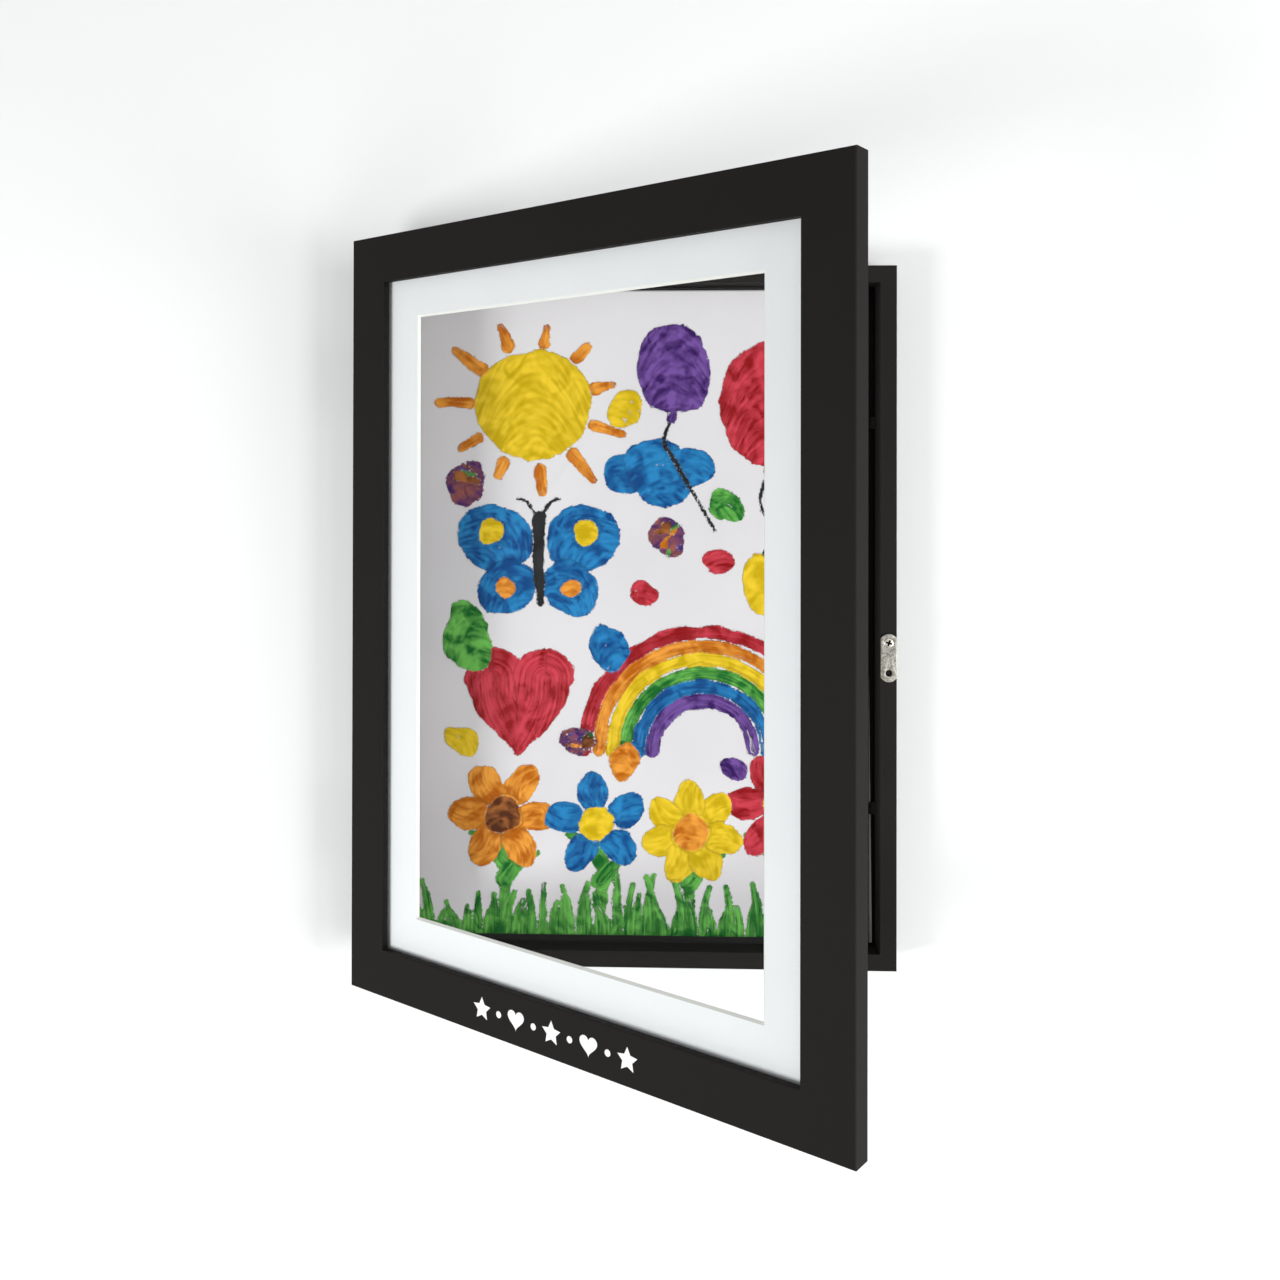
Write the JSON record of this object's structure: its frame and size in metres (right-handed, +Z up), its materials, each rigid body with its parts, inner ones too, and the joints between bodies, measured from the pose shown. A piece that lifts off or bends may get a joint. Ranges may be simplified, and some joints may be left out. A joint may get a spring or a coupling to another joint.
{
  "type": "childrens art frame",
  "caption": "Wall frame for a child's pictures: a shallow storage box whose hinged front door holds a clear pane and a bevelled mat, and shuts on a magnet.",
  "frame": {"origin": "on the wall plane, halfway up the back face of the box's top rail, in the middle of its width", "axes": "+Z up, +Y into the wall, so the front of the frame looks along -Y; +X to the right as seen from the front. At rest the door stands 36 degrees open."},
  "size_m": [0.2724, 0.1904, 0.374],
  "materials": {
    "black_wood": "satin black-brown lacquer on MDF moulding",
    "hardboard": "raw brown hardboard",
    "black_card": "matt black card",
    "paper": "matt drawing paper",
    "painted_paper": "matt white paper with poster paint",
    "white_mat": "matt cool-white mat board with a cream core",
    "black_elastic": "woven black elastic",
    "clear_acrylic": "clear polished sheet",
    "plated_steel": "dull nickel plating",
    "hinge_steel": "zinc-plated pressed steel",
    "tab_steel": "thin bright spring steel",
    "magnet_plating": "bright nickel plating"
  },
  "bodies": {
    "box": {"box_rail_top": "black_wood", "box_rail_bottom": "black_wood", "box_rail_left": "black_wood", "box_rail_right": "black_wood", "back_panel": "hardboard", "panel_point_top_1": "tab_steel", "panel_point_bottom_1": "tab_steel", "panel_point_left_1": "tab_steel", "panel_point_left_2": "tab_steel", "panel_point_right_1": "tab_steel", "panel_point_right_2": "tab_steel", "hanger_left": "plated_steel", "hanger_left_nail_1": "plated_steel", "hanger_left_nail_2": "plated_steel", "hanger_right": "plated_steel", "hanger_right_nail_1": "plated_steel", "hanger_right_nail_2": "plated_steel", "backing_card": "black_card", "paper_stack": "paper", "elastic_strap_upper": "black_elastic", "elastic_strap_lower": "black_elastic", "mount_card": "black_card", "top_drawing": "painted_paper", "strike_plate": "plated_steel", "strike_screw": "plated_steel", "upper_hinge_box_leaf": "hinge_steel", "upper_hinge_pin": "hinge_steel", "upper_hinge_box_screw_1": "plated_steel", "upper_hinge_box_screw_2": "plated_steel", "lower_hinge_box_leaf": "hinge_steel", "lower_hinge_pin": "hinge_steel", "lower_hinge_box_screw_1": "plated_steel", "lower_hinge_box_screw_2": "plated_steel"},
    "door": {"door_rail_top": "black_wood", "door_rail_bottom": "black_wood", "door_rail_left": "black_wood", "door_rail_right": "black_wood", "pane": "clear_acrylic", "mat_board": "white_mat", "door_point_top_1": "tab_steel", "door_point_top_2": "tab_steel", "door_point_bottom_1": "tab_steel", "door_point_bottom_2": "tab_steel", "door_point_left_1": "tab_steel", "door_point_left_2": "tab_steel", "door_point_right_1": "tab_steel", "door_point_right_2": "tab_steel", "magnet": "magnet_plating", "upper_hinge_door_leaf": "hinge_steel", "upper_hinge_door_screw_1": "plated_steel", "upper_hinge_door_screw_2": "plated_steel", "lower_hinge_door_leaf": "hinge_steel", "lower_hinge_door_screw_1": "plated_steel", "lower_hinge_door_screw_2": "plated_steel"}
  },
  "joints": [
    {"name": "door_swing", "type": "hinge", "parent": "box", "child": "door", "pos_m": [-0.1303, -0.0222, -0.1735], "axis": [0, 0, -1], "range_deg": [-36, 69]}
  ]
}
